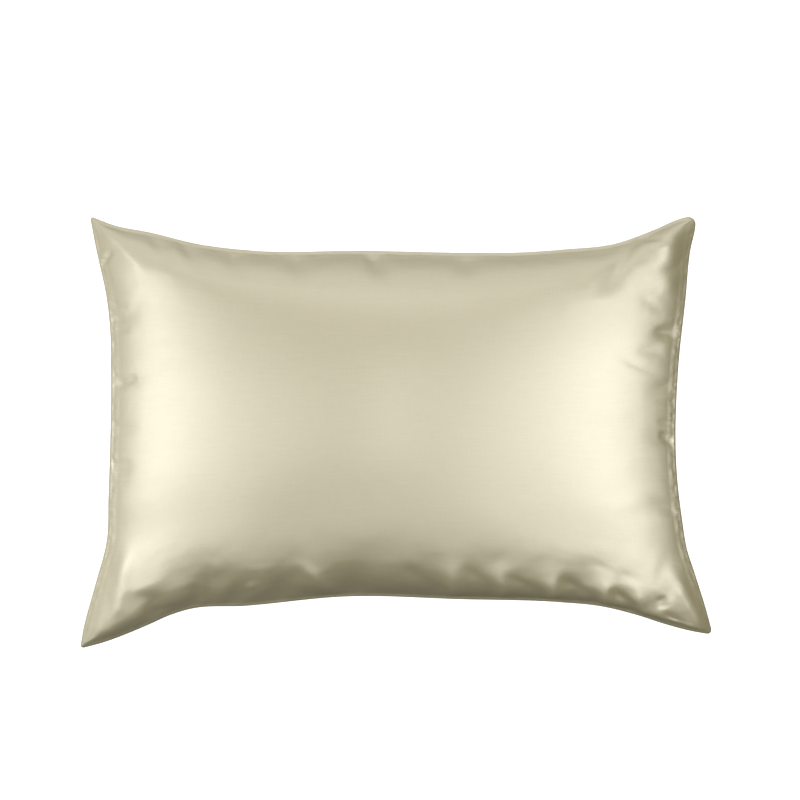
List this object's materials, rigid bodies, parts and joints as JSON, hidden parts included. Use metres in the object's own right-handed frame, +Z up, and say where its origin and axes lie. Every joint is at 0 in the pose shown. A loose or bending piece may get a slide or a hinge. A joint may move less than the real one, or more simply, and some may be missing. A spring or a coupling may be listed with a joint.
{
  "type": "filled pillowcase",
  "caption": "Plump bed pillow in a satin pillowcase, oblong, with drawn-in sides, four thin corner ears and a narrow turned seam all round. Lies on its back.",
  "frame": {"origin": "on the surface that the pillow rests on, under the middle of its box", "axes": "+X along the long side, +Y towards the far long side, +Z up through the crown of the front panel"},
  "size_m": [0.7326, 0.5006, 0.187],
  "materials": {
    "satin": "satin"
  },
  "bodies": {
    "root": {"pillowcase": "satin"}
  },
  "joints": []
}
